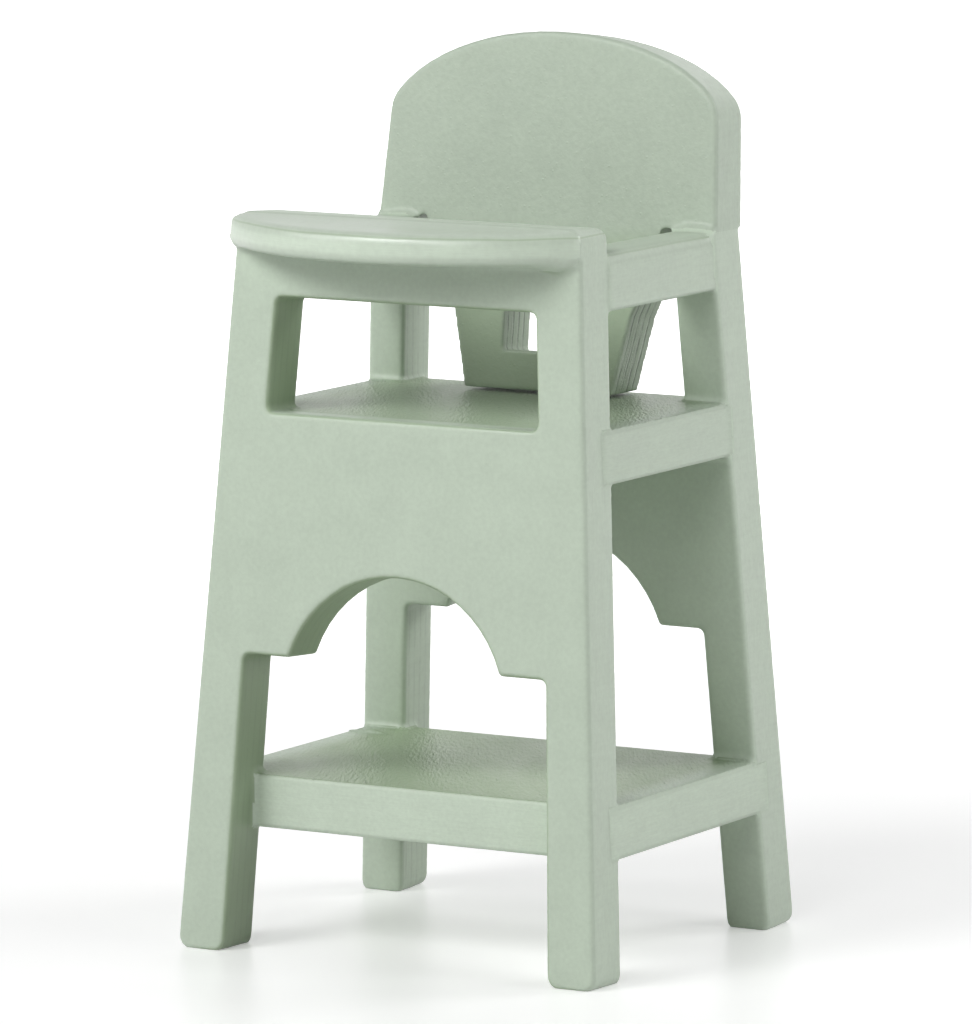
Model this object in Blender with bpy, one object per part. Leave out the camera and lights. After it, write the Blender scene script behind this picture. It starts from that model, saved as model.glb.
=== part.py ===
"""Doll high chair of painted plywood boards, in metres, with +Z up and the chair facing -Y.

Eight boards are glued together: a front panel and a rear panel that lean towards each other,
a seat and a bottom shelf housed in them, two arms, a tray and a backrest.  The origin is on
the floor, under the middle of the chair's box, so the tray's overhang sets the feet back.
"""
import math

import bmesh
import bpy
from mathutils import Matrix, Vector

# Boards and joints
board_thickness = 0.0070
level_thickness = 0.0068
edge_radius = 0.0005
back_edge_ease = 0.0003
housed_edge_radius = 0.0002
joint_gap = 0.0003
cut_overrun = 0.0060
sole_cut = 0.0002
weld_distance = 0.00001

# Heights: the seat and the shelf above the floor, the arms above the seat
seat_height = 0.0687
shelf_height = 0.0221
arm_rise = 0.0219
arm_height = seat_height + arm_rise

# Front panel; its apron reaches down from the seat's top
front_foot_width = 0.0607
front_top_width = 0.0493
front_panel_rise = 0.0033
front_panel_height = arm_height + front_panel_rise
front_leg_foot_width = 0.0068
front_leg_width = 0.0062
window_post_width = 0.0066
front_apron_drop = 0.0308
front_arch_radius = 0.0160
front_arch_rise = 0.0111

# Rear panel, a little wider than the front one
rear_foot_extra = 0.0004
rear_foot_width = front_foot_width + rear_foot_extra
rear_top_extra = 0.0012
rear_top_width = front_top_width + rear_top_extra
rear_leg_width = 0.0062
rear_left_leg_top_width = 0.0052
rear_apron_drop = 0.0294
rear_arch_radius = 0.0164
rear_arch_rise = 0.0116

# Shapes that both panels share
foot_spread = 0.0534
arm_spread = 0.0411
arch_end_radius = 0.0006
foot_corner_radius = 0.0017
inner_corner_radius = 0.0009
top_corner_radius = 0.0016

# Seat and bottom shelf
seat_rear_inset = 0.0018
seat_front_housing = 0.0023
seat_rear_housing = 0.0009
shelf_front_housing = 0.0021
shelf_rear_housing = 0.0027

# Arms
arm_depth = 0.0073
arm_width = 0.0062
arm_top_radius = 0.0016

# Tray
tray_thickness = 0.0044
tray_left_overhang = 0.00125
tray_right_overhang = 0.00045
tray_reach = 0.0118
tray_edge_radius = 0.0010

# Backrest: its head stands on the rear legs, its tongue reaches down to the seat
backrest_rise = 0.0242
backrest_height = arm_height + backrest_rise
backrest_shoulder_inset = 0.00045
backrest_shoulder_width = rear_top_width - 2 * backrest_shoulder_inset
backrest_corner_inset = 0.0009
backrest_corner_width = backrest_shoulder_width - 2 * backrest_corner_inset
backrest_corner_radius = 0.0045
crown_overrun = 0.00135
crown_left_rise = 0.0141
crown_right_rise = 0.0127
backrest_setback = 0.0008
backrest_shift = 0.0004
backrest_lean_run = 0.0028
backrest_edge_radius = 0.0005
neck_clearance = 0.00115
neck_width = rear_top_width - 2 * (rear_leg_width + neck_clearance)
shoulder_drop = 0.0015
tongue_shift = 0.0006
tongue_waist_width = 0.0259
tongue_waist_rise = 0.0103
tongue_foot_width = 0.0214
tongue_foot_gap = 0.0005
tail_hole_width = 0.0110
tail_hole_rise = 0.0051
tail_hole_height = 0.0090

# Smoothness of round shapes
sharp_angle = math.radians(40)
corner_steps = 4
arch_steps = 20
crown_steps = 24
rim_steps = 1

# Paint, as linear colour, with its gloss, and how light it looks on each board
paint_colour = (0.46, 0.60, 0.47)
paint_roughness = 0.45
rear_panel_shade = 0.97
arm_shade = 1.03
tray_shade = 1.05
backrest_shade = 0.95


def lean_angle():
    """Tilt of the front and rear panels towards each other."""
    return math.atan((foot_spread - arm_spread) / 2 / arm_height)


def outer_face_y(height):
    """How far the outer faces of both panels stand from the middle at a height."""
    return foot_spread / 2 - height * math.tan(lean_angle())


def inner_face_y(height):
    return outer_face_y(height) - board_thickness / math.cos(lean_angle())


def width_slope(foot_width, top_width, height):
    """Half the width that a panel loses for each unit of height."""
    return (foot_width - top_width) / 2 / height


def front_half_width(height):
    slope = width_slope(front_foot_width, front_top_width, front_panel_height)
    return front_foot_width / 2 - slope * height


def rear_half_width(height):
    slope = width_slope(rear_foot_width, rear_top_width, arm_height)
    return rear_foot_width / 2 - slope * height


def frame_half_width(height):
    """Half width of the boards between the panels, flush with the legs' sides."""
    return (front_half_width(height) + rear_half_width(height)) / 2


def backrest_lean():
    """Tilt of the backrest, which leans back."""
    return math.atan(backrest_lean_run / (backrest_height - arm_height))


def clear_scene():
    for item in list(bpy.data.objects):
        bpy.data.objects.remove(item, do_unlink=True)


def new_collection(name):
    collection = bpy.data.collections.new(name)
    bpy.context.scene.collection.children.link(collection)
    return collection


def paint_material(name, shade=1.0):
    material = bpy.data.materials.new(name)
    material.use_nodes = True
    shader = material.node_tree.nodes["Principled BSDF"]
    colour = tuple(channel * shade for channel in paint_colour) + (1.0,)
    shader.inputs["Base Color"].default_value = colour
    shader.inputs["Roughness"].default_value = paint_roughness
    shader.inputs["Metallic"].default_value = 0.0
    material.diffuse_color = colour
    return material


def round_corners(corners):
    """Points of a closed outline; each corner is x, y and the radius that rounds it."""
    points = []
    count = len(corners)
    for index, (x, y, radius) in enumerate(corners):
        here = Vector((x, y))
        if radius <= 0:
            points.append(here)
            continue
        before = Vector(corners[index - 1][:2]) - here
        after = Vector(corners[(index + 1) % count][:2]) - here
        half_angle = before.angle(after) / 2
        bisector = (before.normalized() + after.normalized()).normalized()
        centre = here + bisector * (radius / math.sin(half_angle))
        start = here + before.normalized() * (radius / math.tan(half_angle)) - centre
        finish = here + after.normalized() * (radius / math.tan(half_angle)) - centre
        turn = start.angle_signed(finish)
        for step in range(corner_steps + 1):
            spin = Matrix.Rotation(-turn * step / corner_steps, 2)
            points.append(centre + spin @ start)
    return points


def arch_corners(underside, arch_radius, arch_rise):
    """The arch from right to left, with its rounded ends on the apron's underside."""
    centre_y = underside + arch_rise - arch_radius
    end_y = underside + arch_end_radius
    reach = arch_radius + arch_end_radius
    end_x = math.sqrt(reach ** 2 - (end_y - centre_y) ** 2)
    end_angle = math.atan2(end_y - centre_y, end_x)
    half = []
    for step in range(corner_steps + 1):
        angle = -math.pi / 2 - (math.pi / 2 - end_angle) * step / corner_steps
        half.append((end_x + arch_end_radius * math.cos(angle),
                     end_y + arch_end_radius * math.sin(angle), 0))
    for step in range(1, arch_steps // 2 + 1):
        angle = end_angle + (math.pi / 2 - end_angle) * step / (arch_steps // 2)
        half.append((arch_radius * math.cos(angle), centre_y + arch_radius * math.sin(angle), 0))
    return half + [(-x, y, radius) for x, y, radius in reversed(half[:-1])]


def leg_corners(half_width, foot_width, apron_width, underside, arch, sole):
    """Right foot, apron underside with its arch, and left foot, from right to left."""
    outer = half_width(sole)
    inner = outer - foot_width
    top = half_width(underside) - apron_width
    return ([(outer, sole, foot_corner_radius),
             (inner, sole, foot_corner_radius),
             (top, underside, inner_corner_radius)]
            + arch
            + [(-top, underside, inner_corner_radius),
               (-inner, sole, foot_corner_radius),
               (-outer, sole, foot_corner_radius)])


def slab(name, collection, outlines, thickness, radius, planed=0):
    """A board: flat outlines with a thickness and round edges; planing sharpens the back ones."""
    curve = bpy.data.curves.new(name, "CURVE")
    curve.dimensions = "2D"
    curve.fill_mode = "BOTH"
    curve.extrude = (thickness + planed) / 2 - radius
    curve.bevel_depth = radius
    curve.bevel_resolution = rim_steps
    curve.offset = -radius
    for outline in outlines:
        spline = curve.splines.new("POLY")
        spline.points.add(len(outline) - 1)
        spline.use_cyclic_u = True
        for point, (x, y) in zip(spline.points, outline):
            point.co = (x, y, 0, 1)
    guide = bpy.data.objects.new(name + "_outline", curve)
    bpy.context.scene.collection.objects.link(guide)
    graph = bpy.context.evaluated_depsgraph_get()
    mesh = bpy.data.meshes.new_from_object(guide.evaluated_get(graph))
    bpy.data.objects.remove(guide, do_unlink=True)
    body = bmesh.new()
    body.from_mesh(mesh)
    bmesh.ops.remove_doubles(body, verts=body.verts, dist=weld_distance)
    if planed > 0:
        bmesh.ops.translate(body, verts=body.verts, vec=(0, 0, -planed / 2))
        everything = body.verts[:] + body.edges[:] + body.faces[:]
        plane = bmesh.ops.bisect_plane(body, geom=everything, plane_co=(0, 0, -thickness / 2),
                                       plane_no=(0, 0, -1), clear_outer=True)
        rim = [item for item in plane["geom_cut"] if isinstance(item, bmesh.types.BMEdge)]
        bmesh.ops.triangle_fill(body, edges=rim, use_beauty=True)
    bmesh.ops.recalc_face_normals(body, faces=body.faces)
    body.to_mesh(mesh)
    body.free()
    mesh.name = name
    board = bpy.data.objects.new(name, mesh)
    collection.objects.link(board)
    return board


def stand_up(board, y, tilt, x=0):
    """Turns a flat board upright; its bottom line is on the floor and it leans back by tilt."""
    board.rotation_euler = (math.pi / 2 - tilt, 0, 0)
    board.location = (x, y, 0)
    bpy.context.view_layer.update()


def box_cutter(name, size, location, rotation=(0, 0, 0)):
    bpy.ops.mesh.primitive_cube_add(size=1, location=location, rotation=rotation)
    box = bpy.context.active_object
    box.name = name
    box.scale = size
    bpy.ops.object.transform_apply(location=False, rotation=False, scale=True)
    return hide_cutter(box)


def hide_cutter(item):
    item.hide_render = True
    item.display_type = "WIRE"
    for collection in list(item.users_collection):
        collection.objects.unlink(item)
    cutters.objects.link(item)
    return item


def cut(board, cutter):
    modifier = board.modifiers.new(cutter.name, "BOOLEAN")
    modifier.operation = "DIFFERENCE"
    modifier.solver = "EXACT"
    modifier.object = cutter


def finish(board, shade=1.0):
    board.data.materials.clear()
    board.data.materials.append(paint_material(board.name + "_paint", shade))
    board.data.shade_smooth()
    board.data.set_sharp_from_angle(angle=sharp_angle)


def sole_drop():
    """How far the feet run below the floor before they are cut flat."""
    return (board_thickness / 2 - edge_radius) * math.tan(lean_angle()) + sole_cut


def panel_outline(corners):
    """Heights above the floor become lengths along the leaning board."""
    stretch = 1 / math.cos(lean_angle())
    return [(point.x, point.y * stretch) for point in round_corners(corners)]


def make_front_panel():
    sole = -sole_drop()
    window_top = arm_height - arm_depth
    top = front_half_width(front_panel_height)
    underside = seat_height - front_apron_drop
    arch = arch_corners(underside, front_arch_radius, front_arch_rise)
    outside = leg_corners(front_half_width, front_leg_foot_width, front_leg_width,
                          underside, arch, sole)
    outside += [(-top, front_panel_height, top_corner_radius),
                (top, front_panel_height, top_corner_radius)]
    low = front_half_width(seat_height) - window_post_width
    high = front_half_width(window_top) - window_post_width
    window = [(low, seat_height, inner_corner_radius), (high, window_top, inner_corner_radius),
              (-high, window_top, inner_corner_radius), (-low, seat_height, inner_corner_radius)]
    outlines = [panel_outline(outside), panel_outline(window)]
    board = slab("front_panel", chair, outlines, board_thickness, edge_radius, back_edge_ease)
    stand_up(board, -foot_spread / 2 + board_thickness / 2 / math.cos(lean_angle()), lean_angle())
    cut(board, floor)
    cut(board, seat_housing)
    cut(board, shelf_housing)
    finish(board)
    return board


def make_rear_panel():
    sole = -sole_drop()
    apron_top = seat_height - level_thickness - joint_gap
    top_y = arm_height + cut_overrun
    top = rear_half_width(top_y)
    low = rear_half_width(apron_top)
    underside = seat_height - rear_apron_drop
    arch = arch_corners(underside, rear_arch_radius, rear_arch_rise)
    outside = leg_corners(rear_half_width, rear_leg_width, rear_leg_width, underside, arch, sole)
    outside += [(-top, top_y, 0), (-top + rear_left_leg_top_width, top_y, 0),
                (-low + rear_left_leg_top_width, apron_top, inner_corner_radius),
                (low - rear_leg_width, apron_top, inner_corner_radius),
                (top - rear_leg_width, top_y, 0), (top, top_y, 0)]
    outline = panel_outline(outside)
    board = slab("rear_panel", chair, [outline], board_thickness, edge_radius, back_edge_ease)
    stand_up(board, foot_spread / 2 - board_thickness / 2 / math.cos(lean_angle()), -lean_angle())
    cut(board, floor)
    cut(board, leg_top_trim)
    cut(board, seat_housing)
    cut(board, shelf_housing)
    finish(board, rear_panel_shade)
    return board


def cross_board(name, collection, top, front_y, rear_y, grow):
    """A level board between the panels, its long sides flush with the legs and rounded."""
    bottom = top - level_thickness
    radius = edge_radius + grow
    end_radius = housed_edge_radius + grow
    low = frame_half_width(bottom) + grow
    high = frame_half_width(top) + grow
    outline = round_corners([(low, bottom - grow, radius), (high, top + grow, radius),
                             (-high, top + grow, radius), (-low, bottom - grow, radius)])
    depth = rear_y - front_y + 2 * grow
    board = slab(name, collection, [[(point.x, point.y) for point in outline]], depth, end_radius)
    stand_up(board, (front_y + rear_y) / 2, 0)
    return board


def seat_board(name, collection, grow):
    """The seat, notched at the back round the rear legs."""
    middle = seat_height - level_thickness / 2
    front_y = -inner_face_y(middle) - seat_front_housing
    rear_y = outer_face_y(middle) - seat_rear_inset
    board = cross_board(name, collection, seat_height, front_y, rear_y, grow)
    slope = width_slope(rear_foot_width, rear_top_width, arm_height)
    notch_y = inner_face_y(middle) + seat_rear_housing + grow
    length = rear_y - notch_y + cut_overrun
    for side, leg_width in ((-1, rear_left_leg_top_width), (1, rear_leg_width)):
        inner = rear_half_width(middle) - leg_width - joint_gap + grow
        reach = leg_width + cut_overrun
        size = (reach, length, level_thickness + cut_overrun)
        place = (side * (inner + reach / 2), notch_y + length / 2, middle)
        notch = box_cutter(f"{name}_notch_{side}", size, place, (0, -side * math.atan(slope), 0))
        cut(board, notch)
    return board


def shelf_board(name, collection, grow):
    middle = shelf_height - level_thickness / 2
    front_y = -inner_face_y(middle) - shelf_front_housing
    rear_y = inner_face_y(middle) + shelf_rear_housing
    return cross_board(name, collection, shelf_height, front_y, rear_y, grow)


def make_arm(name, side):
    """An arm: a bar between the panels, cut at both ends to their slope."""
    bottom = arm_height - arm_depth
    low = frame_half_width(bottom)
    high = frame_half_width(arm_height)
    inner = high - arm_width
    corners = [(low, bottom, edge_radius), (high, arm_height, arm_top_radius),
               (inner, arm_height, edge_radius), (inner, bottom, edge_radius)]
    outline = [(side * point.x, point.y) for point in round_corners(corners)]
    length = 2 * outer_face_y(bottom)
    board = slab(name, chair, [outline], length, housed_edge_radius)
    stand_up(board, 0, 0)
    for cheek in arm_trims:
        cut(board, cheek)
    finish(board, arm_shade)
    return board


def make_tray():
    """A D of thinner board with round edges, glued to the front panel, level with its top."""
    face_y = -outer_face_y(front_panel_height - tray_thickness / 2)
    half_length = (front_top_width + tray_left_overhang + tray_right_overhang) / 2
    radius = (half_length ** 2 + tray_reach ** 2) / (2 * tray_reach)
    centre_y = face_y - tray_reach + radius
    back_y = face_y + cut_overrun
    sweep = math.asin(half_length / radius)
    corners = [(half_length, back_y, 0)]
    corners += [(half_length, face_y, 0)]
    for step in range(1, crown_steps):
        angle = sweep - 2 * sweep * step / crown_steps
        corners.append((radius * math.sin(angle), centre_y - radius * math.cos(angle), 0))
    corners += [(-half_length, face_y, 0), (-half_length, back_y, 0)]
    outline = [(point.x, point.y) for point in round_corners(corners)]
    board = slab("tray", chair, [outline], tray_thickness, tray_edge_radius)
    shift = (tray_right_overhang - tray_left_overhang) / 2
    board.location = (shift, 0, front_panel_height - tray_thickness / 2)
    cut(board, tray_trim)
    finish(board, tray_shade)
    return board


def crown_points(corner, top):
    """The backrest's top from right to left: flat half ellipses, cut off at the corners."""
    half_width = corner + crown_overrun
    reach = math.asin(corner / half_width)
    points = []
    for step in range(crown_steps + 1):
        angle = reach - 2 * reach * step / crown_steps
        rise = crown_right_rise if angle > 0 else crown_left_rise
        points.append((half_width * math.sin(angle),
                       top - rise * (1 - math.cos(angle)), 0))
    return points


def tongue_cutter(side, tilt, middle_y):
    """What is sawn away beside the tongue: it narrows from the neck to the waist and the foot."""
    stretch = 1 / math.cos(tilt)
    out = (backrest_shoulder_width + cut_overrun) / 2
    foot = tongue_foot_width / 2
    waist = tongue_waist_width / 2
    taper = (waist - foot) / tongue_waist_rise
    bottom = seat_height - cut_overrun
    corners = [(out, bottom), (out, arm_height), (neck_width / 2, arm_height),
               (waist, seat_height + tongue_waist_rise), (foot - taper * cut_overrun, bottom)]
    outline = [(side * x, y * stretch) for x, y in corners]
    wedge = slab(f"tongue_side_{side}", cutters, [outline], board_thickness + cut_overrun, 0)
    stand_up(wedge, middle_y, tilt, tongue_shift)
    return hide_cutter(wedge)


def make_backrest():
    tilt = backrest_lean()
    stretch = 1 / math.cos(tilt)
    corner = backrest_corner_width / 2
    shoulder = backrest_shoulder_width / 2
    crown = crown_points(corner, backrest_height)
    slope = (shoulder - corner) / (crown[-1][1] - arm_height)
    low_y = arm_height - shoulder_drop
    low = shoulder + slope * shoulder_drop
    side = neck_width / 2 + backrest_edge_radius
    foot_y = seat_height - cut_overrun
    outside = [(side, foot_y, 0), (side, low_y, 0), (low, low_y, 0),
               crown[0][:2] + (backrest_corner_radius,)]
    outside += crown[1:-1]
    outside += [crown[-1][:2] + (backrest_corner_radius,),
                (-low, low_y, 0), (-side, low_y, 0), (-side, foot_y, 0)]
    outline = [(point.x, point.y * stretch) for point in round_corners(outside)]
    board = slab("backrest", chair, [outline], board_thickness, backrest_edge_radius, back_edge_ease)
    rear_y = outer_face_y(arm_height) + backrest_setback
    middle_y = rear_y - board_thickness / 2 * stretch - arm_height * math.tan(tilt)
    stand_up(board, middle_y, tilt, backrest_shift)
    for side in (-1, 1):
        cut(board, tongue_cutter(side, tilt, middle_y))
        reach = shoulder + cut_overrun
        drop = 2 * shoulder_drop + joint_gap
        size = (reach, foot_spread, drop)
        place = (backrest_shift + side * (neck_width / 2 + reach / 2), rear_y,
                 arm_height + joint_gap - drop / 2)
        cut(board, box_cutter(f"shoulder_trim_{side}", size, place))
    foot_drop = 2 * cut_overrun
    place = (backrest_shift, rear_y, seat_height + tongue_foot_gap - foot_drop / 2)
    cut(board, box_cutter("tongue_trim", (backrest_shoulder_width, foot_spread, foot_drop), place))
    hole_z = seat_height + tail_hole_rise + tail_hole_height / 2
    size = (tail_hole_width, board_thickness + 2 * cut_overrun, tail_hole_height * stretch)
    place = (tongue_shift, middle_y + hole_z * math.tan(tilt), hole_z)
    cut(board, box_cutter("tail_hole", size, place, (-tilt, 0, 0)))
    finish(board, backrest_shade)
    return board


clear_scene()
chair = new_collection("doll_high_chair")
cutters = new_collection("cutters")

wide = front_foot_width + rear_foot_width
floor = box_cutter("floor_trim", (wide, wide, cut_overrun), (0, 0, -cut_overrun / 2))
leg_top_trim = box_cutter("leg_top_trim", (wide, wide, 2 * cut_overrun),
                          (0, 0, arm_height + cut_overrun))

panel_y = inner_face_y(arm_height) - joint_gap
arm_trims = []
for end in (-1, 1):
    slant = end * lean_angle()
    thick = foot_spread / 2
    centre_y = end * (panel_y + thick / 2 / math.cos(lean_angle()))
    arm_trims.append(box_cutter(f"arm_trim_{end}", (wide, thick, foot_spread),
                                (0, centre_y, arm_height), (slant, 0, 0)))

tray_face_y = -outer_face_y(front_panel_height) - joint_gap
tray_trim = box_cutter("tray_trim", (wide, foot_spread / 2, foot_spread),
                       (0, tray_face_y + foot_spread / 4 / math.cos(lean_angle()),
                        front_panel_height), (-lean_angle(), 0, 0))

seat_housing = hide_cutter(seat_board("seat_housing", cutters, joint_gap))
shelf_housing = hide_cutter(shelf_board("shelf_housing", cutters, joint_gap))

make_front_panel()
make_rear_panel()
finish(seat_board("seat_board", chair, 0))
finish(shelf_board("bottom_shelf", chair, 0))
make_arm("left_arm", -1)
make_arm("right_arm", 1)
make_tray()
make_backrest()

# The tray reaches out in front, so the boards move back until the origin is under the middle
tray_front = outer_face_y(front_panel_height - tray_thickness / 2) + tray_reach
middle = bpy.data.objects.new("feet_middle", None)
middle.location = (0, (tray_front - foot_spread / 2) / 2, 0)
chair.objects.link(middle)
for item in list(chair.objects) + list(cutters.objects):
    if item is not middle:
        item.parent = middle
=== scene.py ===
import math

import bmesh
import bpy
import numpy as np
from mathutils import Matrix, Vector
from mathutils.bvhtree import BVHTree


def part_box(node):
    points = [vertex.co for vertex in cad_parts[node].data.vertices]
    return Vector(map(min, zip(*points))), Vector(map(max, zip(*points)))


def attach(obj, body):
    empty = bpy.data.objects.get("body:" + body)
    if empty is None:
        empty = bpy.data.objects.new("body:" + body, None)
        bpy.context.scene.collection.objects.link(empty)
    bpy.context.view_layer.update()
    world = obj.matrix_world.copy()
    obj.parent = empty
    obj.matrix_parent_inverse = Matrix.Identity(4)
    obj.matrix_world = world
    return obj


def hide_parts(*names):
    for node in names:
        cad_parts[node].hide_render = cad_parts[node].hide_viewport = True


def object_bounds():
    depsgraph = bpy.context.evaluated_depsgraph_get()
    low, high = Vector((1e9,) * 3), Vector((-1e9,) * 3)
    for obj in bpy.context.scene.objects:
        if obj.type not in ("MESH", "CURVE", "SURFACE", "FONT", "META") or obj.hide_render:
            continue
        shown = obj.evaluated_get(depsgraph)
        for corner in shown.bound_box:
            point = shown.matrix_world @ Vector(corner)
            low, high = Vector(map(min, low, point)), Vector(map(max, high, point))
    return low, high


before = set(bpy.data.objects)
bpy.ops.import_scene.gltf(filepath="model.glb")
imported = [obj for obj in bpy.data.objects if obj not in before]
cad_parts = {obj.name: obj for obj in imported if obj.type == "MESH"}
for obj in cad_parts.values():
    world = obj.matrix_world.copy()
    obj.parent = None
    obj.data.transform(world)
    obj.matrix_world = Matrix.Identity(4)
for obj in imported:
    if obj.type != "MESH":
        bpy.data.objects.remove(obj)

cad_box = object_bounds()


# The carcass: eight boards of five-ply birch, glued up and then sprayed together in sage green.
# The paint closes the glue lines and gathers in the inside corners, so the coat is made here once
# for all of them, and each board takes its own share of it in its section.
carcass = ["front_panel", "rear_panel", "seat_board", "bottom_shelf", "left_arm", "right_arm",
           "tray", "backrest"]
glue_line = 0.0003
film = glue_line / 2 + 0.00002
coat_grain = 0.00032
weld_reach = 0.000002
sliver = 0.00002
same_way = 0.1


def bare_board(name):
    """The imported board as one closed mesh."""
    board = bmesh.new()
    board.from_mesh(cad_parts[name].data)
    bmesh.ops.remove_doubles(board, verts=board.verts, dist=weld_reach)
    board.normal_update()
    return board


def finder(board):
    """A tree that finds the nearest place on a board, which it uses up."""
    tree = BVHTree.FromBMesh(board)
    board.free()
    return tree


def swell(board, reach):
    """Moves the faces outwards by reach, so that boards with a glue line between them meet.

    A sliver of a face has no sure direction, so it has no say."""
    firm = {face: 2 * face.calc_area() > sliver * max(edge.calc_length() for edge in face.edges)
            for face in board.faces}
    moves = []
    for corner in board.verts:
        ways = np.array([face.normal for face in corner.link_faces if firm[face]]
                        or [face.normal for face in corner.link_faces])
        moves.append(Vector(np.linalg.lstsq(ways, np.full(len(ways), reach), rcond=same_way)[0]))
    for corner, move in zip(board.verts, moves):
        corner.co += move


def joined(boards):
    """One mesh of several boards."""
    every = bmesh.new()
    for board in boards:
        part = bpy.data.meshes.new("part")
        board.to_mesh(part)
        board.free()
        every.from_mesh(part)
        bpy.data.meshes.remove(part)
    return every


def cast_coat(boards, grain):
    """A fine even mesh over boards that overlap, like the film of paint on them."""
    mesh = bpy.data.meshes.new("coat")
    boards.to_mesh(mesh)
    boards.free()
    body = bpy.data.objects.new("coat", mesh)
    bpy.context.scene.collection.objects.link(body)
    remesh = body.modifiers.new("film", "REMESH")
    remesh.mode = "VOXEL"
    remesh.voxel_size = grain
    graph = bpy.context.evaluated_depsgraph_get()
    coat = bpy.data.meshes.new_from_object(body.evaluated_get(graph))
    bpy.data.objects.remove(body, do_unlink=True)
    return coat


def rows_of(items, key, width=3, kind=float):
    """One value of a mesh's vertices, edges or faces, a row for each."""
    values = np.empty(len(items) * width, kind)
    items.foreach_get(key, values)
    return values.reshape(-1, width)


def points_of(mesh):
    return rows_of(mesh.vertices, "co")


def normals_of(mesh):
    return rows_of(mesh.vertex_normals, "vector")


def quads_of(mesh):
    return rows_of(mesh.polygons, "vertices", 4, int)


def put_points(mesh, places):
    mesh.vertices.foreach_set("co", places.ravel())
    mesh.update()


def dots(one, two):
    """The dot product of each pair of rows."""
    return np.einsum("ij,ij->i", one, two)


def neighbour_mean(mesh):
    """A function that gives each vertex the mean of its neighbours' values."""
    one, two = rows_of(mesh.edges, "vertices", 2, int).T
    count = len(mesh.vertices)
    degree = np.bincount(one, minlength=count) + np.bincount(two, minlength=count)
    degree = np.maximum(degree, 1)

    def mean(values):
        columns = [np.bincount(one, column[two], count) + np.bincount(two, column[one], count)
                   for column in values.T]
        return np.stack(columns, 1) / degree[:, None]
    return mean


# A film thinner than film_thin is laid right on the board, and past film_end it is left alone.
film_thin = 0.00006
film_end = 0.00014
fully_held = 0.99
relax = 0.5
crisp_rounds = 4
even_enough = 0.000008
bent_spread = 2
joint_reach = 0.0007
least_area = 0.3
unfold_rounds = 8


def unfolded(quads, before, after):
    """Takes back the moves that would fold or crush a face of the film."""
    def spans(places):
        corners = places[quads]
        return np.cross(corners[:, 2] - corners[:, 0], corners[:, 3] - corners[:, 1])
    old = spans(before)
    for turn in range(unfold_rounds):
        crushed = dots(old, spans(after)) < least_area * dots(old, old)
        if not crushed.any():
            break
        after[quads[crushed]] = before[quads[crushed]]
    return after


def over_joint(places):
    """Which points of the film lie close to two boards."""
    inside = []
    for name in carcass:
        low, high = (np.array(corner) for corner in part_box(name))
        within = (places > low - joint_reach) & (places < high + joint_reach)
        inside.append(np.all(within, 1))
    shared = np.sum(inside, 0) > 1
    boards_near = np.zeros(len(places), int)
    for name, within in zip(carcass, inside):
        tree = finder(bare_board(name))
        for index in np.nonzero(within & shared)[0]:
            found = tree.find_nearest(Vector(places[index]), joint_reach)
            boards_near[index] += found[0] is not None
    return boards_near > 1


def crisp(places, ways, mean, free, quads):
    """Lays the film on the boards along their edges, where it is thin."""
    tree = finder(joined([bare_board(name) for name in carcass]))
    bent = np.abs(dots(mean(places) - places, ways)) > even_enough
    for turn in range(bent_spread):
        bent = mean(bent[:, None].astype(float))[:, 0] > 0
    free = np.nonzero(free & bent & ~over_joint(places))[0]
    for turn in range(crisp_rounds):
        before = places.copy()
        hold = np.zeros(len(places))
        for index in free:
            found = tree.find_nearest(Vector(places[index]), film_end)
            if found[0] is not None:
                hold[index] = min(1, (film_end - found[3]) / (film_end - film_thin))
                places[index] += hold[index] * (np.array(found[0]) - places[index])
        if turn < crisp_rounds - 1:
            places += relax * (hold > fully_held)[:, None] * (mean(places) - places)
        places = unfolded(quads, before, places)
    return places


# The backrest's tongue was sawn after the first coat, its foot stands off the seat, and its
# notches clear the rear legs, the right one more.
tongue_low = np.array(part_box("backrest")[0])
shoulder_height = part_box("rear_panel")[1].z
tongue_half_width = 0.0184
tongue_middle = 0.0004
tongue_front = tongue_low[1] - 0.0004
tongue_foot = tongue_low[2] - 0.0001
tongue_top = shoulder_height - 0.0022
foot_lift = 0.0008
foot_height = 0.0011
foot_reach = 0.006
notch_inner = 0.0170
notch_outer = 0.0195
notch_below = 0.0012
notch_above = 0.0006
right_relief = 0.0010
left_relief = right_relief / 8

# The tray falls away to the front.
tray_low, tray_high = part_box("tray")
tray_fall = 0.00030
tray_fall_reach = 0.004


def on_tongue(places):
    """Which points are on the backrest's tongue."""
    return ((places[:, 1] > tongue_front) & (np.abs(places[:, 0]) < tongue_half_width)
            & (places[:, 2] > tongue_foot) & (places[:, 2] < tongue_top))


def ease(name, board):
    """Small departures of the real boards: a lifted foot, relieved notches and a tray's fall."""
    low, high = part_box(name)
    for corner in board.verts:
        place = corner.co
        if name == "backrest":
            if place.z < low.z + foot_height:
                place.z += foot_lift
            if (notch_inner < abs(place.x - tongue_middle) < notch_outer
                    and shoulder_height - notch_below < place.z < shoulder_height + notch_above):
                place.x -= right_relief if place.x > 0 else -left_relief
        if name == "tray" and place.z > (low.z + high.z) / 2:
            place.z -= tray_fall * min(1, (high.y - place.y) / tray_fall_reach)


def node(tree, kind, **values):
    """A new node.  A name with in_ before it sets an input; settings come before inputs."""
    made = tree.nodes.new(kind)
    for key, value in values.items():
        if key.startswith("in_"):
            feed(tree, made.inputs[key[3:].replace("_", " ")], value)
        else:
            setattr(made, key, value)
    return made


def feed(tree, socket, value):
    """Gives the socket another node's output, or a plain number, colour or direction."""
    if isinstance(value, bpy.types.NodeSocket):
        tree.links.new(value, socket)
    else:
        socket.default_value = value


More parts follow.
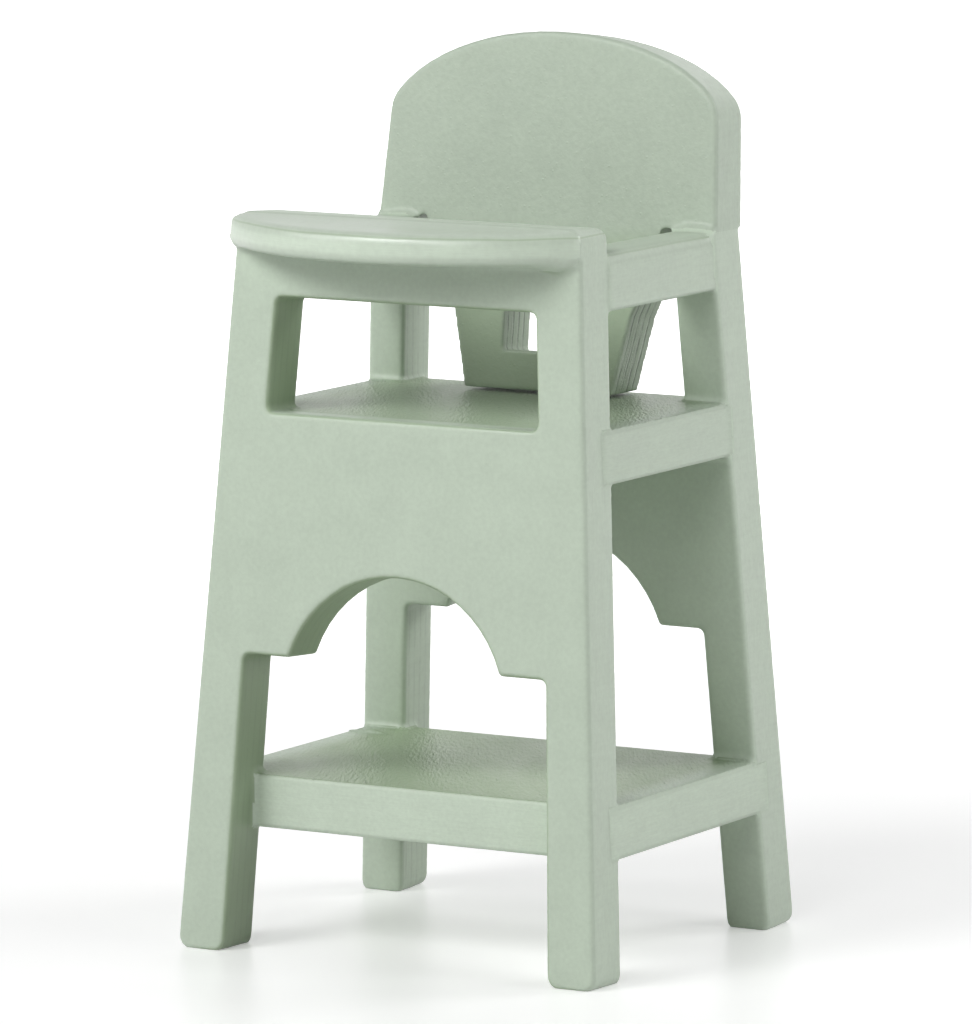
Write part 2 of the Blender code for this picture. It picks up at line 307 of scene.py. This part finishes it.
def maths(tree, operation, *values, clamp=False):
    """One step of arithmetic on outputs or plain numbers."""
    step = node(tree, "ShaderNodeMath", operation=operation, use_clamp=clamp)
    for socket, value in zip(step.inputs, values):
        feed(tree, socket, value)
    return step.outputs[0]


def paint_run_tree():
    """Geometry Nodes: drops of paint that swell towards the middle of a path and run together."""
    tree = bpy.data.node_groups.new("paint_run", "GeometryNodeTree")
    face = tree.interface
    face.new_socket("Path", in_out="INPUT", socket_type="NodeSocketGeometry")
    for label, kind, value in (
            ("Drops", "NodeSocketInt", 24), ("Drop Size", "NodeSocketFloat", 0.0006),
            ("Unevenness", "NodeSocketFloat", 0.15), ("Seed", "NodeSocketInt", 3),
            ("Paint", "NodeSocketMaterial", None)):
        socket = face.new_socket(label, in_out="INPUT", socket_type=kind)
        if value is not None:
            socket.default_value = value
    face.new_socket("Run", in_out="OUTPUT", socket_type="NodeSocketGeometry")
    given = node(tree, "NodeGroupInput").outputs
    again = node(tree, "GeometryNodeResampleCurve", in_Curve=given["Path"],
                 in_Count=given["Drops"])
    kept = node(tree, "GeometryNodeCaptureAttribute", domain="POINT")
    kept.capture_items.new("FLOAT", "Along")
    feed(tree, kept.inputs["Geometry"], again.outputs["Curve"])
    feed(tree, kept.inputs["Along"], node(tree, "GeometryNodeSplineParameter").outputs["Factor"])
    points = node(tree, "GeometryNodeCurveToPoints", mode="COUNT",
                  in_Curve=kept.outputs["Geometry"], in_Count=given["Drops"])
    rest = maths(tree, "SUBTRACT", 1.0, kept.outputs["Along"])
    lens = maths(tree, "SQRT", maths(tree, "MULTIPLY", kept.outputs["Along"], rest))
    chance = node(tree, "FunctionNodeRandomValue", data_type="FLOAT", in_Seed=given["Seed"])
    feed(tree, chance.inputs[2], maths(tree, "SUBTRACT", 1.0, given["Unevenness"]))
    feed(tree, chance.inputs[3], maths(tree, "ADD", 1.0, given["Unevenness"]))
    size = maths(tree, "MULTIPLY", lens, chance.outputs[1])
    drop = node(tree, "GeometryNodeMeshIcoSphere", in_Subdivisions=3,
                in_Radius=given["Drop Size"])
    drops = node(tree, "GeometryNodeInstanceOnPoints", in_Points=points.outputs["Points"],
                 in_Instance=drop.outputs["Mesh"], in_Scale=maths(tree, "MULTIPLY", size, 2.0))
    real = node(tree, "GeometryNodeRealizeInstances", in_Geometry=drops.outputs["Instances"])
    paint = node(tree, "GeometryNodeSetMaterial", in_Geometry=real.outputs["Geometry"],
                 in_Material=given["Paint"])
    node(tree, "NodeGroupOutput", in_Run=paint.outputs["Geometry"])
    return tree


paint_run = paint_run_tree()
wet_paint = bpy.data.materials.new("wet_paint")


def run_of_paint(start, stop, drop_size, seed):
    """A run of thick paint from start to stop, as a mesh for the coat to take in."""
    curve = bpy.data.curves.new("path", "CURVE")
    curve.dimensions = "3D"
    line = curve.splines.new("POLY")
    line.points.add(1)
    for point, place in zip(line.points, (start, stop)):
        point.co = (*place, 1)
    path = bpy.data.objects.new("path", curve)
    bpy.context.scene.collection.objects.link(path)
    run = path.modifiers.new("run", "NODES")
    run.node_group = paint_run
    for item in paint_run.interface.items_tree:
        value = {"Drop Size": drop_size, "Seed": seed, "Paint": wet_paint}.get(item.name)
        if value is not None and item.in_out == "INPUT":
            run[item.identifier] = value
    graph = bpy.context.evaluated_depsgraph_get()
    mesh = bpy.data.meshes.new_from_object(path.evaluated_get(graph))
    bpy.data.objects.remove(path, do_unlink=True)
    bpy.data.curves.remove(curve)
    drops = bmesh.new()
    drops.from_mesh(mesh)
    bpy.data.meshes.remove(mesh)
    return drops


def paint_runs():
    """Where the paint stood thick: the backrest's shoulders, under the tray, round a leg.

    Each run has two ends, a little off the boards' corners, the size of its drops and a seed."""
    arm_low, arm_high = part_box("right_arm")
    shelf_low, shelf_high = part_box("bottom_shelf")
    back, top = arm_high.y + 0.0007, arm_high.z
    right_shoulder = ((arm_low.x + 0.0007, back, top + 0.0001), (arm_high.x - 0.0001, back, top))
    left_shoulder = ((-arm_high.x + 0.0024, back, top), (-arm_low.x + 0.0008, back, top + 0.0001))
    under_tray = ((tray_high.x - 0.0072, tray_high.y - 0.0022, tray_low.z + 0.0004),
                  (tray_high.x - 0.0012, tray_high.y - 0.0006, tray_low.z + 0.0002))
    leg_side, leg_width, leg_face = shelf_low.x + 0.0004, 0.0064, shelf_high.y - 0.0072
    leg_foot = ((leg_side, leg_face, shelf_high.z), (leg_side + leg_width, leg_face, shelf_high.z))
    return [run_of_paint(*ends, drop_size, seed) for ends, drop_size, seed in (
        (right_shoulder, 0.00095, 3), (left_shoulder, 0.00075, 5), (under_tray, 0.0010, 7),
        (leg_foot, 0.00070, 9))]


gather_rounds = 3
gather_speed = 0.6
even_pull = 0.5
even_return = 0.51

# The tray's edge was rubbed smooth: all of it but its underside near the front panel.
rub_rounds = 26
rub_pull = 0.5
rub_back = tray_high.y + 0.0002
rub_back_below = tray_high.y - 0.0012
rub_foot = tray_low.z + 0.0018
rub_foot_before = tray_low.z - 0.0005

# The rear left leg's top end took no thick paint and is worn by a little.
dry_end = -0.0236
dry_from = shoulder_height - 0.001
worn_end = -0.02445
worn_from = shoulder_height - 0.0006
worn_to = shoulder_height + 0.0002
worn_depth = 0.0004


def settle(coat, shrink):
    """Evens out the film, draws it back on the boards and lets paint gather in inside corners."""
    mean = neighbour_mean(coat)
    places = points_of(coat)
    places += even_pull * (mean(places) - places)
    places -= even_return * (mean(places) - places)
    put_points(coat, places)
    places -= shrink * normals_of(coat)
    put_points(coat, places)
    wet = (places[:, 0] > dry_end) | (places[:, 2] < dry_from)
    wet &= ~on_tongue(places)
    for turn in range(gather_rounds):
        ways = normals_of(coat)
        lift = dots(mean(places) - places, ways)
        places += (gather_speed * wet * np.clip(lift, 0, None))[:, None] * ways
        put_points(coat, places)
    rubbed = (places[:, 1] < rub_back) & (places[:, 2] > rub_foot)
    rubbed |= (places[:, 1] < rub_back_below) & (places[:, 2] > rub_foot_before)
    for turn in range(rub_rounds):
        places += rub_pull * rubbed[:, None] * (mean(places) - places)
    height = places[:, 2] - tongue_low[2] - foot_lift
    squeezed = foot_lift * np.clip(1 - height / foot_reach, 0, 1)
    places[:, 2] -= np.where(on_tongue(places), squeezed, 0)
    tree = finder(bare_board("backrest"))
    for index in np.nonzero(on_tongue(places))[0]:
        places[index] = tree.find_nearest(Vector(places[index]))[0]
    places = crisp(places, normals_of(coat), mean, ~rubbed, quads_of(coat))
    worn = (places[:, 0] < worn_end) & (places[:, 1] > 0)
    worn &= (places[:, 2] > worn_from) & (places[:, 2] < worn_to)
    places[worn, 2] -= worn_depth
    low, high = (np.array(corner) for corner in cad_box)
    put_points(coat, np.clip(places, low, high))


boards = []
for name in carcass:
    board = bare_board(name)
    swell(board, film)
    ease(name, board)
    boards.append(board)
coat = cast_coat(joined(boards + paint_runs()), coat_grain)
settle(coat, film)

near_joint = 0.0015


def board_distances(mesh, names):
    """How far each vertex is from each board's bare surface, up to near_joint."""
    places = points_of(mesh)
    reach = np.full((len(places), len(names)), near_joint)
    for column, name in enumerate(names):
        low, high = (np.array(corner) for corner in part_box(name))
        close = np.all((places > low - near_joint) & (places < high + near_joint), 1)
        tree = finder(bare_board(name))
        for index in np.nonzero(close)[0]:
            found = tree.find_nearest(Vector(places[index]), near_joint)
            if found[3] is not None:
                reach[index, column] = found[3]
    return reach


bend_unit = 0.00003
coat_reach = board_distances(coat, carcass)
coat_places = points_of(coat)
coat_ways = normals_of(coat)
coat_quads = quads_of(coat)
coat_owner = coat_reach[coat_quads].mean(1).argmin(1)
even = neighbour_mean(coat)
coat_bend = even(dots(even(coat_places) - coat_places, coat_ways)[:, None])[:, 0] / bend_unit
coat_ways = even(coat_ways)
coat_ways /= np.linalg.norm(coat_ways, axis=1)[:, None]

cap_depth = 0.0004
steep_from = 0.75
steep_span = 0.2


def store(mesh, label, values):
    """Keeps one number for each vertex, for the paint to read."""
    attribute = mesh.attributes.new(label, "FLOAT", "POINT")
    attribute.data.foreach_set("value", values.astype(np.float32))


def board_share(name, lie, middle, thickness):
    """The board's share of the coat, closed inside its joints.

    lie is the way that the board's face looks and middle a point halfway through it; they give
    the depth through the plies.  The joint attribute is the distance from the next board, bend
    how the coat bends, sawn how far a face is from the outer plies and upright how steep it is."""
    column = carcass.index(name)
    used, faces = np.unique(coat_quads[coat_owner == column], return_inverse=True)
    faces = faces.reshape(-1, 4)
    share = bmesh.new()
    corners = [share.verts.new(place) for place in coat_places[used]]
    share.verts.index_update()
    for face in faces:
        share.faces.new([corners[index] for index in face])
    rims = [edge for edge in share.edges if edge.is_boundary]
    inner = bmesh.ops.extrude_edge_only(share, edges=rims)["geom"]
    home = {tuple(corner.co): corner.index for edge in rims for corner in edge.verts}
    for corner in inner:
        if isinstance(corner, bmesh.types.BMVert):
            corner.co -= cap_depth * Vector(coat_ways[used[home[tuple(corner.co)]]])
    rims = [edge for edge in share.edges if edge.is_boundary]
    bmesh.ops.holes_fill(share, edges=rims, sides=0)
    mesh = bpy.data.meshes.new(name + "_painted")
    share.to_mesh(mesh)
    share.free()
    caps = np.zeros(len(mesh.vertices) - len(used))
    others = np.delete(coat_reach[used], column, 1).min(1)
    store(mesh, "joint", np.append(others - coat_reach[used, column], caps))
    store(mesh, "bend", np.append(coat_bend[used], caps))
    lie = np.array(Vector(lie).normalized())
    store(mesh, "ply_depth", (points_of(mesh) - np.array(middle)) @ lie / thickness + 0.5)
    store(mesh, "sawn", 1 - np.abs(normals_of(mesh) @ lie))
    store(mesh, "upright", 1 - np.clip((normals_of(mesh)[:, 2] - steep_from) / steep_span, 0, 1))
    ways = np.zeros((len(mesh.loops), 3))
    ways[:faces.size] = coat_ways[used][faces.ravel()]
    mesh.shade_smooth()
    mesh.normals_split_custom_set(ways.tolist())
    piece = bpy.data.objects.new(name + "_painted", mesh)
    bpy.context.scene.collection.objects.link(piece)
    return piece


# Front panel: one board sawn to two legs, a window over the seat and an arched apron under it.
# It leans back, its front edges are rounded over, and its side shows the ply streaks through
# the paint, with a painted highlight along the front corner.
board_thickness = 0.0070
panel_lean = math.atan((0.0534 - 0.0411) / 2 / 0.0906)


def face_way(tilt):
    """The way a board that leans by tilt looks, towards the front of the chair."""
    return (0, -math.cos(tilt), math.sin(tilt))


def panel_middle(name, side):
    """A point halfway through a panel, on the floor line; side is -1 for the front one."""
    low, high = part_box(name)
    outer = low.y if side < 0 else high.y
    return (0, outer - side * board_thickness / 2 / math.cos(panel_lean), 0)


def ramp(tree, value, low, high, start=0.0, stop=1.0, smooth=False):
    """Goes from start to stop while the value goes from low to high."""
    kind = "SMOOTHSTEP" if smooth else "LINEAR"
    step = node(tree, "ShaderNodeMapRange", interpolation_type=kind, in_Value=value,
                in_From_Min=low, in_From_Max=high, in_To_Min=start, in_To_Max=stop)
    return step.outputs["Result"]


def clouds(tree, vector, scale, detail, roughness=0.5):
    """Soft noise, about a half on the average."""
    noise = node(tree, "ShaderNodeTexNoise", in_Vector=vector, in_Scale=scale, in_Detail=detail,
                 in_Roughness=roughness)
    return noise.outputs["Fac"]


def new_group(name, inputs, outputs):
    """A shader node group; inputs are (name, kind, value) and outputs are numbers."""
    group = bpy.data.node_groups.new(name, "ShaderNodeTree")
    for label, kind, value in inputs:
        socket = group.interface.new_socket(label, in_out="INPUT", socket_type=kind)
        if value is not None:
            socket.default_value = value
    for label in outputs:
        group.interface.new_socket(label, in_out="OUTPUT", socket_type="NodeSocketFloat")
    return group, node(group, "NodeGroupInput").outputs, node(group, "NodeGroupOutput").inputs


def spray_group():
    """Orange peel of sprayed paint: fine pits, soft cloudy patches and a few specks of dust."""
    group, given, out = new_group(
        "sprayed_paint",
        [("Vector", "NodeSocketVector", None), ("Peel Size", "NodeSocketFloat", 0.0006),
         ("Patch Size", "NodeSocketFloat", 0.006)],
        ["Peel", "Patches", "Specks"])
    per_peel = maths(group, "DIVIDE", 1.0, given["Peel Size"])
    feed(group, out["Peel"], clouds(group, given["Vector"], per_peel, 2.5, 0.55))
    per_patch = maths(group, "DIVIDE", 1.0, given["Patch Size"])
    feed(group, out["Patches"], clouds(group, given["Vector"], per_patch, 3.0, 0.6))
    dust = node(group, "ShaderNodeTexVoronoi", in_Vector=given["Vector"], in_Scale=900.0)
    feed(group, out["Specks"], ramp(group, dust.outputs["Distance"], 0.0, 0.16, 1.0, 0.0))
    return group


floor_half_width = 0.03035
narrowing = 0.0607


def inside_group():
    """Between the panels and under the arms: the mask for the painted shade there, and for where
    the ply streaks show.
    """
    group, given, out = new_group("inside", [("Vector", "NodeSocketVector", None)], ["Mask"])
    parts = node(group, "ShaderNodeSeparateXYZ", in_Vector=given["Vector"]).outputs
    half_width = maths(group, "MULTIPLY_ADD", parts["Z"], -narrowing, floor_half_width)
    share = maths(group, "DIVIDE", maths(group, "ABSOLUTE", parts["X"]), half_width)
    within = ramp(group, share, 0.97, 0.82, smooth=True)
    below = ramp(group, parts["Z"], 0.0915, 0.0870, smooth=True)
    feed(group, out["Mask"], maths(group, "MULTIPLY", within, below))
    return group


def lip_group():
    """The fine dark line where the thick paint of the top ends, a little below the edge."""
    group, given, out = new_group(
        "paint_lip",
        [("Vector", "NodeSocketVector", None), ("Height", "NodeSocketFloat", 0.0),
         ("Sawn", "NodeSocketFloat", 0.0)],
        ["Line"])
    sag = clouds(group, given["Vector"], 140.0, 1.0)
    parts = node(group, "ShaderNodeSeparateXYZ", in_Vector=given["Vector"]).outputs
    over = maths(group, "SUBTRACT", parts["Z"], given["Height"])
    wavy = maths(group, "MULTIPLY_ADD", sag, 0.00025, over)
    line = ramp(group, maths(group, "ABSOLUTE", wavy), 0.00016, 0.00003, smooth=True)
    side = ramp(group, given["Sawn"], 0.05, 0.30)
    feed(group, out["Line"], maths(group, "MULTIPLY", line, side))
    return group


plies = 5


def ply_group():
    """What a saw leaves on plywood's side: glue lines, torn streaks between them and fibres."""
    group, given, out = new_group(
        "ply_streaks",
        [("Vector", "NodeSocketVector", None), ("Depth", "NodeSocketFloat", 0.5),
         ("Sawn", "NodeSocketFloat", 0.0)],
        ["Streaks", "Fibres"])
    side = ramp(group, given["Sawn"], 0.75, 0.95, smooth=True)

    wander = clouds(group, given["Vector"], 260.0, 3.0)
    bend = maths(group, "MULTIPLY_ADD", wander, 0.045, given["Depth"])
    wave = maths(group, "SINE", maths(group, "MULTIPLY", bend, 2 * math.pi * plies))
    lines = ramp(group, wave, 0.35, 1.0, smooth=True)
    breaks = clouds(group, given["Vector"], 300.0, 4.0, 0.7)
    broken = ramp(group, breaks, 0.36, 0.60, 0.25, smooth=True)
    glue = maths(group, "MULTIPLY", lines, broken)

    fibre_noises = []
    for across, along, detail in ((19.0, 110.0, 4.0), (34.0, 420.0, 3.0)):
        threads = maths(group, "MULTIPLY", given["Depth"], across)
        stretch = node(group, "ShaderNodeVectorMath", operation="SCALE",
                       in_Vector=given["Vector"], in_Scale=along)
        fibre = node(group, "ShaderNodeTexNoise", noise_dimensions="4D",
                     in_Vector=stretch.outputs[0], in_W=threads, in_Scale=1.0,
                     in_Detail=detail, in_Roughness=0.65)
        fibre_noises.append(fibre.outputs["Fac"])
    torn = ramp(group, fibre_noises[0], 0.50, 0.32, 0.0, 0.30, smooth=True)
    streaks = maths(group, "MAXIMUM", glue, torn)
    feed(group, out["Streaks"], maths(group, "MULTIPLY", streaks, side))
    feed(group, out["Fibres"], maths(group, "MULTIPLY", fibre_noises[1], side))
    return group


def scratch_group():
    """Slanting scratches of sanding and of a wiped second coat, fine and close together."""
    group, given, out = new_group("slanting_scratches", [("Vector", "NodeSocketVector", None)],
                                  ["Scratches"])
    turned = node(group, "ShaderNodeMapping", vector_type="POINT", in_Vector=given["Vector"],
                  in_Rotation=(math.radians(38), 0, 0), in_Scale=(1.0, 0.10, 1.0))
    feed(group, out["Scratches"], clouds(group, turned.outputs["Vector"], 1900.0, 2.0))
    return group


sprayed_paint = spray_group()
ply_streaks = ply_group()
slanting_scratches = scratch_group()
inside = inside_group()
paint_lip = lip_group()
sage = (0.480, 0.563, 0.457)
# Used both for the painted shade between the panels and for the fine dark lines.
sage_shade_and_lines = (0.300, 0.390, 0.248)
sage_grey = (0.415, 0.480, 0.398)
sage_dark = (0.085, 0.110, 0.080)
# The colour of the painted highlight on the rounded edges.
sage_highlight = (0.600, 0.680, 0.575)


def sage_paint(name, roughness=0.42, peel=0.0006, peel_depth=0.000018, streak_depth=0.10,
               side_grey=0.55, tone_and_light=1.0, lip=-1.0, inside_shade=0.0, wall_shade=0.0,
               side_peel=1.0, peel_along=1.0, peel_turn=0.0, face=1.0, gloss=0.5):
    """Satin sage paint on plywood; the values say how rough, pitted and streaky it is here.

    lip is the height of the line under a thick top coat, and inside_shade how much painted shade,
    greener and darker, lies between the panels, with wall_shade added on the sawn sides."""
    material = bpy.data.materials.new(name)
    material.use_nodes = True
    tree = material.node_tree
    shader = tree.nodes["Principled BSDF"]
    shader.inputs["Metallic"].default_value = 0.0
    shader.inputs["Specular IOR Level"].default_value = gloss

    def calc(*values, **settings):
        return maths(tree, *values, **settings)

    def stored(label):
        return node(tree, "ShaderNodeAttribute", attribute_name=label).outputs["Fac"]

    def effect(group, **inputs):
        return node(tree, "ShaderNodeGroup", node_tree=group, **inputs).outputs

    where = node(tree, "ShaderNodeTexCoord").outputs["Object"]
    sawn = stored("sawn")
    gun_pass = node(tree, "ShaderNodeMapping", vector_type="TEXTURE", in_Vector=where,
                    in_Rotation=(0, 0, peel_turn), in_Scale=(1.0, peel_along, 1.0))
    spray = effect(sprayed_paint, in_Vector=gun_pass.outputs["Vector"], in_Peel_Size=peel)
    sawing = effect(ply_streaks, in_Vector=where, in_Depth=stored("ply_depth"), in_Sawn=sawn)
    scratches = effect(slanting_scratches, in_Vector=where)["Scratches"]
    within = effect(inside, in_Vector=where)["Mask"]
    lip_line = effect(paint_lip, in_Vector=where, in_Height=lip, in_Sawn=sawn)["Line"]

    # The coat itself, greyer on the sawn sides, with clouds, scratches and fibres in its tone.
    side = ramp(tree, sawn, 0.6, 0.97, 0.0, side_grey, smooth=True)
    # tone_and_light is this board's brightness: partly its own tone and partly painted light that
    # lifts or lowers its faces.
    cloud = ramp(tree, spray["Patches"], 0.3, 0.7, 0.97 * tone_and_light, 1.03 * tone_and_light)
    grain = calc("ADD", calc("MULTIPLY", scratches, side), spray["Peel"])
    raised = calc("MULTIPLY_ADD", sawing["Fibres"], 1.2, grain)
    tone = calc("MULTIPLY", cloud, ramp(tree, raised, 0.3, 1.7, 0.93, 1.17))
    # face brightens the board's faces but not its sawn sides: painted light.
    body = node(tree, "ShaderNodeMix", data_type="RGBA", in_Factor=side,
                in_A=tuple(face * level for level in sage) + (1,), in_B=sage_grey + (1,))
    toned = node(tree, "ShaderNodeVectorMath", operation="SCALE",
                 in_Vector=body.outputs["Result"], in_Scale=tone)

    # What lies over it: painted shade between the panels, streaks, a painted highlight along the
    # rounded edges and fine dark lines.
    walls = calc("MULTIPLY", calc("MULTIPLY", sawn, 5.0, clamp=True), stored("upright"))
    # Painted shade: the colour goes darker and greener between the panels and under the arms, more
    # on steep sawn walls.
    painted_inside_shade = calc("MULTIPLY", within, calc("MULTIPLY_ADD", walls, wall_shade, inside_shade))
    streaks = calc("MULTIPLY", calc("MULTIPLY", within, sawing["Streaks"]), streak_depth)
    # Painted highlight: pale thin lines along the convex rounded edges, where the coat bends.
    painted_edge_highlight = ramp(tree, stored("bend"), -0.5, -2.5, 0.0, 0.50)
    seam = ramp(tree, stored("joint"), 0.00018, 0.0, 0.0, 0.03, smooth=True)
    lines = calc("MULTIPLY_ADD", lip_line, 0.55, seam)
    colour = toned.outputs[0]
    for share, other in ((painted_inside_shade, sage_shade_and_lines), (streaks, sage_dark), (painted_edge_highlight, sage_highlight),
                         (lines, sage_shade_and_lines)):
        mixed = node(tree, "ShaderNodeMix", data_type="RGBA", in_Factor=share, in_A=colour,
                     in_B=other + (1,))
        colour = mixed.outputs["Result"]
    feed(tree, shader.inputs["Base Color"], colour)
    feed(tree, shader.inputs["Roughness"],
         ramp(tree, spray["Patches"], 0.3, 0.7, roughness - 0.05, roughness + 0.07))

    # The relief: pebbles of peel, dust and fibres, with the streaks and lines sunk into it.
    ridge = calc("MULTIPLY_ADD", streaks, -2.5, grain)
    dusty = calc("MULTIPLY_ADD", spray["Specks"], 0.6, ridge)
    woody = calc("MULTIPLY_ADD", sawing["Fibres"], 0.6, dusty)
    pebbles = calc("MULTIPLY", woody, ramp(tree, sawn, 0.1, 0.5, 1.0, side_peel))
    bump = node(tree, "ShaderNodeBump", in_Strength=1.0, in_Distance=peel_depth,
                in_Height=calc("MULTIPLY_ADD", lines, -1.5, pebbles))
    feed(tree, shader.inputs["Normal"], bump.outputs["Normal"])
    return material


def dress(piece, node_name, material):
    """Gives the piece its paint and lets it stand for its board."""
    piece.data.materials.clear()
    piece.data.materials.append(material)
    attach(piece, "root")
    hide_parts(node_name)


front_panel = board_share("front_panel", face_way(panel_lean), panel_middle("front_panel", -1),
                          board_thickness)
tray_lip = 0.0932
# Its steep sawn sides between the panels, round the window and on the legs' insides, take painted
# shade.
dress(front_panel, "front_panel", sage_paint("front_panel_paint", lip=tray_lip, wall_shade=0.85))


# Rear panel: one board sawn to two legs and an arched apron, leaning forward.
# Its leg tops are cut level to carry the backrest, and its inner sides are nearly square.
rear_panel = board_share("rear_panel", face_way(-panel_lean), panel_middle("rear_panel", 1),
                         board_thickness)
# Its faces are painted lighter (face), and a little painted shade lies between the panels.
dress(rear_panel, "rear_panel", sage_paint("rear_panel_paint", streak_depth=0.14, side_grey=0.8,
                                           face=1.15, inside_shade=0.12))


# Seat and bottom shelf: level boards let into both panels, flush with the legs at the sides.
# Their tops took a wet coat that dried to a speckled gloss, drawn out along the gun's passes.
def level_middle(name):
    low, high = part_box(name)
    return (0, 0, (low.z + high.z) / 2)


level_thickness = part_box("seat_board")[1].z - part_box("seat_board")[0].z
# Their tops between the panels take painted shade, the shelf's most, and none on their sawn sides;
# the shelf's paint is also made lighter, partly as painted light.
for board_name, top_shade, tone in (("seat_board", 0.65, 1.0), ("bottom_shelf", 0.95, 1.08)):
    level = board_share(board_name, (0, 0, 1), level_middle(board_name), level_thickness)
    dress(level, board_name, sage_paint(
        board_name + "_paint", roughness=0.36, peel=0.00040, peel_depth=0.00021,
        streak_depth=0.0, inside_shade=top_shade, wall_shade=-top_shade, side_peel=0.08, peel_along=4.5,
        peel_turn=0.5, tone_and_light=tone, gloss=0.35))


# Arms: narrow bars glued between the panels, a little lower than the front panel's top.
# Their plies lie level, and the top edges are rounded over.
lip_below_top = 0.00025
for arm_name in ("left_arm", "right_arm"):
    arm = board_share(arm_name, (0, 0, 1), level_middle(arm_name), board_thickness)
    arm_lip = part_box(arm_name)[1].z - lip_below_top
    dress(arm, arm_name, sage_paint(arm_name + "_paint", lip=arm_lip))


# Tray: a half-round of thinner board glued on the front panel's face, level with its top.
# Its edge is rounded all the way and the paint on it is thick and glossy.
tray = board_share("tray", (0, 0, 1), level_middle("tray"), tray_high.z - tray_low.z)
# The tray's paint is made a little lighter, partly its own tone and partly painted light.
dress(tray, "tray", sage_paint("tray_paint", roughness=0.34, peel=0.0009, peel_depth=0.000010,
                               streak_depth=0.0, side_grey=0.0, tone_and_light=1.03, lip=tray_lip,
                               gloss=0.9))


# Backrest: a board with a crowned head that stands on the rear legs and a tongue down to the
# seat.  It leans back; the head's edge is rounded in front, and the tongue and tail hole are
# sawn crisp, with bare-looking plies on their sides.
backrest_lean = math.atan(0.0028 / 0.0242)
back_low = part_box("backrest")[0]
back_middle = (0, back_low.y + board_thickness / 2 / math.cos(backrest_lean), back_low.z)
backrest = board_share("backrest", face_way(backrest_lean), back_middle, board_thickness)
# The tongue between the panels takes painted shade, less on its sawn sides, and the board's paint
# is made darker, partly its own tone and partly painted shade.
dress(backrest, "backrest", sage_paint("backrest_paint", roughness=0.45, peel=0.0007,
                                       peel_depth=0.000060, streak_depth=0.55, side_grey=0.6,
                                       tone_and_light=0.93, inside_shade=0.62, wall_shade=-0.35))


# Floor and light: a plain white table that runs on without an edge, and a soft light tent.
# Most of the light comes from above and in front on the left.
floor_half = 6
floor_drop = -0.00001
floor_mesh = bpy.data.meshes.new("floor")
floor_mesh.from_pydata([(floor_half * x, floor_half * y, floor_drop)
                        for x, y in ((-1, -1), (1, -1), (1, 1), (-1, 1))], [], [(0, 1, 2, 3)])
floor = bpy.data.objects.new("floor", floor_mesh)
bpy.context.scene.collection.objects.link(floor)


def seen(tree):
    """1 for what the camera sees, straight or in a gloss."""
    rays = node(tree, "ShaderNodeLightPath").outputs
    return maths(tree, "MAXIMUM", rays["Is Camera Ray"], rays["Is Glossy Ray"])


floor_paint = bpy.data.materials.new("white_table")
floor_paint.use_nodes = True
floor_tree = floor_paint.node_tree
table = floor_tree.nodes["Principled BSDF"].inputs
table["Base Color"].default_value = (0.80, 0.80, 0.80, 1)
table["Roughness"].default_value = 0.35
table["Specular IOR Level"].default_value = 0.5
away = node(floor_tree, "ShaderNodeVectorMath", operation="LENGTH",
            in_Vector=node(floor_tree, "ShaderNodeTexCoord").outputs["Object"])
paler = ramp(floor_tree, away.outputs["Value"], 0.08, 0.42, 0.32, 1.0, smooth=True)
table["Emission Color"].default_value = (1, 1, 1, 1)
feed(floor_tree, table["Emission Strength"], maths(floor_tree, "MULTIPLY", seen(floor_tree), paler))
floor.data.materials.append(floor_paint)

world = bpy.data.worlds.new("light_tent")
bpy.context.scene.world = world
world.use_nodes = True
backdrop = world.node_tree.nodes["Background"].inputs
backdrop["Color"].default_value = (1, 1, 1, 1)
feed(world.node_tree, backdrop["Strength"], seen(world.node_tree))


def aimed(name, data, place, aim):
    """A lamp or camera at place that looks at aim."""
    holder = bpy.data.objects.new(name, data)
    holder.location = place
    holder.rotation_euler = (Vector(aim) - holder.location).to_track_quat("-Z", "Y").to_euler()
    bpy.context.scene.collection.objects.link(holder)
    return holder


# Each lamp has its name, place, width and power.
for lamp_name, place, size, power in (("key", (-0.35, -0.75, 0.70), 0.45, 5.6),
                                      ("front", (0.15, -0.90, 0.60), 0.50, 2.4),
                                      ("left", (-0.75, -0.60, 0.45), 0.50, 1.7),
                                      ("right", (0.95, 0.10, 0.45), 0.50, 2.7),
                                      ("right_back", (0.60, 0.60, 0.60), 0.50, 3.3),
                                      ("back", (-0.10, 0.90, 0.55), 0.50, 0.8)):
    lamp = bpy.data.lights.new(lamp_name, "AREA")
    lamp.shape = "DISK"
    lamp.size = size
    lamp.energy = power
    aimed(lamp_name, lamp, place, (0, 0, 0.05))

camera_data = bpy.data.cameras.new("camera")
camera_data.sensor_fit = "VERTICAL"
camera_data.sensor_height = 36
camera_data.lens = 276.207
camera_data.clip_start = 0.01
bpy.context.scene.camera = aimed("camera", camera_data, (0.49115, -0.86140, 0.19290),
                                 (0.00355682, -0.00381643, 0.05589253))
bpy.context.scene.view_settings.view_transform = "Standard"
